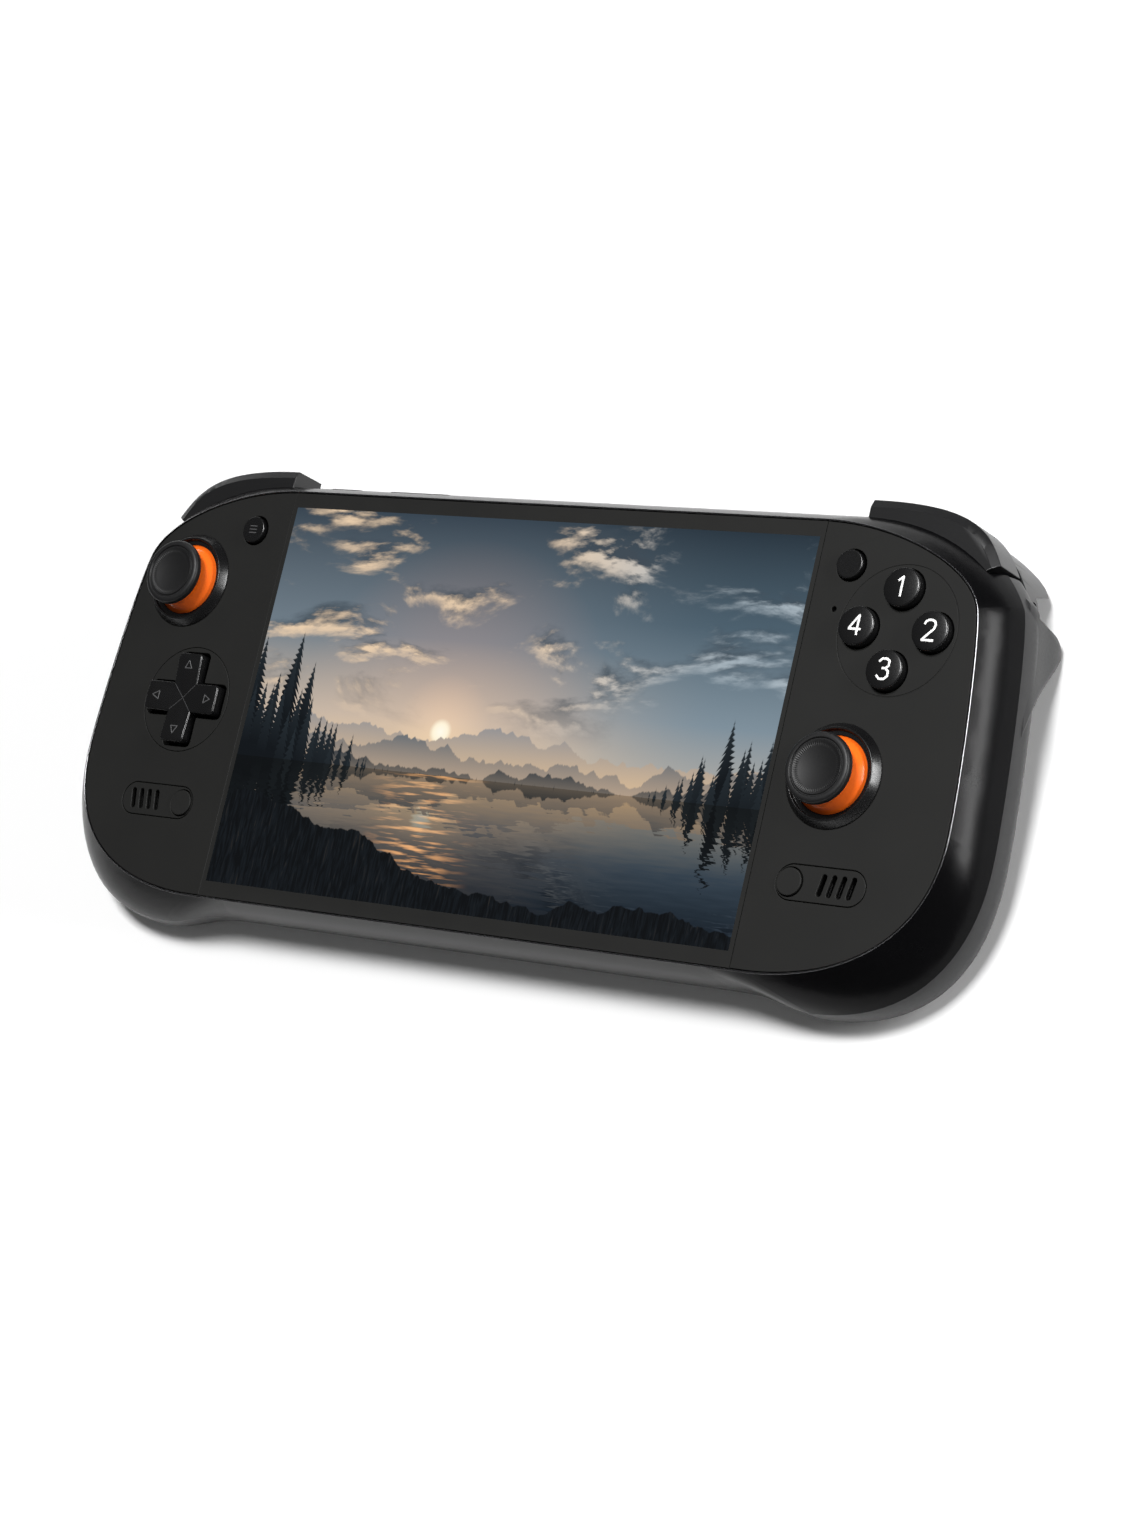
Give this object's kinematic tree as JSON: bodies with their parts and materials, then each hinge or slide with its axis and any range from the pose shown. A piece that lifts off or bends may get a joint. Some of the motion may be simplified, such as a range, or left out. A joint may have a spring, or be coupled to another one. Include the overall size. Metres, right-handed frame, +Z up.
{
  "type": "handheld game console",
  "caption": "Handheld game console with a wide screen between two grips, thumbsticks that tilt and press, a rocking cross pad, round buttons, bumpers, triggers and a spinning fan.",
  "frame": {"origin": "centre of the footprint, on the plane that the console lies on", "axes": "+X to the right along the screen, +Y from the screen's bottom to its top, +Z up out of the screen"},
  "size_m": [0.2974, 0.1314, 0.043],
  "materials": {
    "battery_wrap": "black film wrapped cells",
    "board_epoxy": "glass epoxy board, green solder mask",
    "cap_rubber": "soft touch rubber over plastic",
    "copper": "bare copper",
    "cover_glass": "hardened glass, black printed border",
    "display": "display panel",
    "grip_pc": "fine textured dark grey moulded plastic",
    "inner_nylon": "glass filled nylon",
    "key_black": "satin near-black moulded ABS",
    "magnesium": "cast magnesium alloy, unpainted",
    "orange_gloss": "glossy orange moulded plastic",
    "panel_charcoal": "matte charcoal moulded plastic",
    "rim_abs": "satin black moulded ABS",
    "silicone": "grey moulded silicone",
    "socket_steel": "plated steel",
    "steel": "ground steel"
  },
  "bodies": {
    "casing": {"battery": "battery_wrap", "case_screws": "steel", "cover_glass": "cover_glass", "display_panel": "display", "dpad_disc": "key_black", "dpad_rubber": "silicone", "face_button_rubber": "silicone", "fan_housing": "inner_nylon", "front_housing": "rim_abs", "headphone_jack": "inner_nylon", "heat_sink": "copper", "left_button_board": "board_epoxy", "left_face_panel": "panel_charcoal", "left_rumble_motor": "steel", "left_shoulder_pins": "steel", "left_speaker": "inner_nylon", "left_speaker_grille": "key_black", "left_stick_module": "inner_nylon", "left_stick_ring": "rim_abs", "left_trigger_spring": "steel", "mainboard": "board_epoxy", "mid_frame": "magnesium", "rear_shell": "grip_pc", "right_button_board": "board_epoxy", "right_face_panel": "panel_charcoal", "right_rumble_motor": "steel", "right_shoulder_pins": "steel", "right_speaker": "inner_nylon", "right_speaker_grille": "key_black", "right_stick_module": "inner_nylon", "right_stick_ring": "rim_abs", "right_trigger_spring": "steel", "storage_card": "board_epoxy", "usb_port": "socket_steel"},
    "left_yoke": {"left_stick_yoke": "inner_nylon"},
    "left_arm": {"left_stick_arm": "inner_nylon"},
    "left_stick": {"left_stick_cap": "cap_rubber", "left_stick_dome": "orange_gloss"},
    "right_yoke": {"right_stick_yoke": "inner_nylon"},
    "right_arm": {"right_stick_arm": "inner_nylon"},
    "right_stick": {"right_stick_cap": "cap_rubber", "right_stick_dome": "orange_gloss"},
    "dpad_ball": {"dpad_pivot": "steel"},
    "dpad": {"dpad_cross": "key_black"},
    "button_top": {"face_button_top": "key_black"},
    "button_right": {"face_button_right": "key_black"},
    "button_bottom": {"face_button_bottom": "key_black"},
    "button_left": {"face_button_left": "key_black"},
    "left_menu": {"left_menu_button": "key_black"},
    "left_small": {"left_pill_button": "key_black"},
    "right_menu": {"right_menu_button": "key_black"},
    "right_small": {"right_pill_button": "key_black"},
    "power": {"power_button": "key_black"},
    "volume": {"volume_rocker": "key_black"},
    "right_bumper": {"right_bumper": "key_black"},
    "right_trigger": {"right_trigger": "key_black"},
    "left_bumper": {"left_bumper": "key_black"},
    "left_trigger": {"left_trigger": "key_black"},
    "fan": {"fan_rotor": "inner_nylon"}
  },
  "joints": [
    {"name": "left_stick_tilt_y", "type": "hinge", "parent": "casing", "child": "left_yoke", "pos_m": [-0.1187, 0.02841, 0.02683], "axis": [1, 0, 0], "range_deg": [-13, 13], "stiffness_Nm_per_rad": 0.04},
    {"name": "left_stick_tilt_x", "type": "hinge", "parent": "left_yoke", "child": "left_arm", "pos_m": [-0.1187, 0.02841, 0.02683], "axis": [0, 0.9925, 0.1221], "range_deg": [-13, 13], "stiffness_Nm_per_rad": 0.04},
    {"name": "left_stick_press", "type": "slide", "parent": "left_arm", "child": "left_stick", "axis": [0, 0.1221, -0.9925], "range_m": [0, 0.0004], "stiffness_N_per_m": 3000, "springref_m": -0.0003},
    {"name": "right_stick_tilt_y", "type": "hinge", "parent": "casing", "child": "right_yoke", "pos_m": [0.1054, -0.0092, 0.0222], "axis": [1, 0, 0], "range_deg": [-13, 13], "stiffness_Nm_per_rad": 0.04},
    {"name": "right_stick_tilt_x", "type": "hinge", "parent": "right_yoke", "child": "right_arm", "pos_m": [0.1054, -0.0092, 0.0222], "axis": [0, 0.9925, 0.1221], "range_deg": [-13, 13], "stiffness_Nm_per_rad": 0.04},
    {"name": "right_stick_press", "type": "slide", "parent": "right_arm", "child": "right_stick", "axis": [0, 0.1221, -0.9925], "range_m": [0, 0.0004], "stiffness_N_per_m": 3000, "springref_m": -0.0003},
    {"name": "dpad_rock_y", "type": "hinge", "parent": "casing", "child": "dpad_ball", "pos_m": [-0.1093, -0.00574, 0.02313], "axis": [1, 0, 0], "range_deg": [-4, 4], "stiffness_Nm_per_rad": 0.15},
    {"name": "dpad_rock_x", "type": "hinge", "parent": "dpad_ball", "child": "dpad", "pos_m": [-0.1093, -0.00574, 0.02313], "axis": [0, 0.9925, 0.1221], "range_deg": [-4, 4], "stiffness_Nm_per_rad": 0.15},
    {"name": "button_top_press", "type": "slide", "parent": "casing", "child": "button_top", "axis": [0, 0.1221, -0.9925], "range_m": [0, 0.0012], "stiffness_N_per_m": 600, "springref_m": -0.0005},
    {"name": "button_right_press", "type": "slide", "parent": "casing", "child": "button_right", "axis": [0, 0.1221, -0.9925], "range_m": [0, 0.0012], "stiffness_N_per_m": 600, "springref_m": -0.0005},
    {"name": "button_bottom_press", "type": "slide", "parent": "casing", "child": "button_bottom", "axis": [0, 0.1221, -0.9925], "range_m": [0, 0.0012], "stiffness_N_per_m": 600, "springref_m": -0.0005},
    {"name": "button_left_press", "type": "slide", "parent": "casing", "child": "button_left", "axis": [0, 0.1221, -0.9925], "range_m": [0, 0.0012], "stiffness_N_per_m": 600, "springref_m": -0.0005},
    {"name": "left_menu_press", "type": "slide", "parent": "casing", "child": "left_menu", "axis": [0, 0.1221, -0.9925], "range_m": [0, 0.0006], "stiffness_N_per_m": 1500, "springref_m": -0.0002},
    {"name": "left_small_press", "type": "slide", "parent": "casing", "child": "left_small", "axis": [0, 0.1221, -0.9925], "range_m": [0, 0.0005], "stiffness_N_per_m": 1500, "springref_m": -0.0002},
    {"name": "right_menu_press", "type": "slide", "parent": "casing", "child": "right_menu", "axis": [0, 0.1221, -0.9925], "range_m": [0, 0.0006], "stiffness_N_per_m": 1500, "springref_m": -0.0002},
    {"name": "right_small_press", "type": "slide", "parent": "casing", "child": "right_small", "axis": [0, 0.1221, -0.9925], "range_m": [0, 0.0005], "stiffness_N_per_m": 1500, "springref_m": -0.0002},
    {"name": "power_press", "type": "slide", "parent": "casing", "child": "power", "axis": [0, -0.9925, -0.1221], "range_m": [0, 0.0004], "stiffness_N_per_m": 2500, "springref_m": -0.0002},
    {"name": "volume_rock", "type": "hinge", "parent": "casing", "child": "volume", "pos_m": [-0.05, 0.05523, 0.02842], "axis": [0, -0.1221, 0.9925], "range_deg": [-1, 1], "stiffness_Nm_per_rad": 0.5},
    {"name": "right_bumper_press", "type": "hinge", "parent": "casing", "child": "right_bumper", "pos_m": [0.099, 0.05538, 0.01897], "axis": [0, 0.1221, -0.9925], "range_deg": [0, 1.7], "stiffness_Nm_per_rad": 0.5, "springref_deg": -1.72},
    {"name": "right_trigger_pull", "type": "hinge", "parent": "casing", "child": "right_trigger", "pos_m": [0.1, 0.05387, 0.01485], "axis": [-0.9724, 0.2317, 0.0285], "range_deg": [0, 14], "stiffness_Nm_per_rad": 0.08, "springref_deg": -5.73},
    {"name": "left_bumper_press", "type": "hinge", "parent": "casing", "child": "left_bumper", "pos_m": [-0.099, 0.05538, 0.01897], "axis": [0, -0.1221, 0.9925], "range_deg": [0, 1.7], "stiffness_Nm_per_rad": 0.5, "springref_deg": -1.72},
    {"name": "left_trigger_pull", "type": "hinge", "parent": "casing", "child": "left_trigger", "pos_m": [-0.1, 0.05387, 0.01485], "axis": [-0.9724, -0.2317, -0.0285], "range_deg": [0, 14], "stiffness_Nm_per_rad": 0.08, "springref_deg": -5.73},
    {"name": "fan_spin", "type": "hinge", "parent": "casing", "child": "fan", "pos_m": [0.044, 0.02401, 0.02498], "axis": [0, -0.1221, 0.9925], "continuous": true}
  ]
}
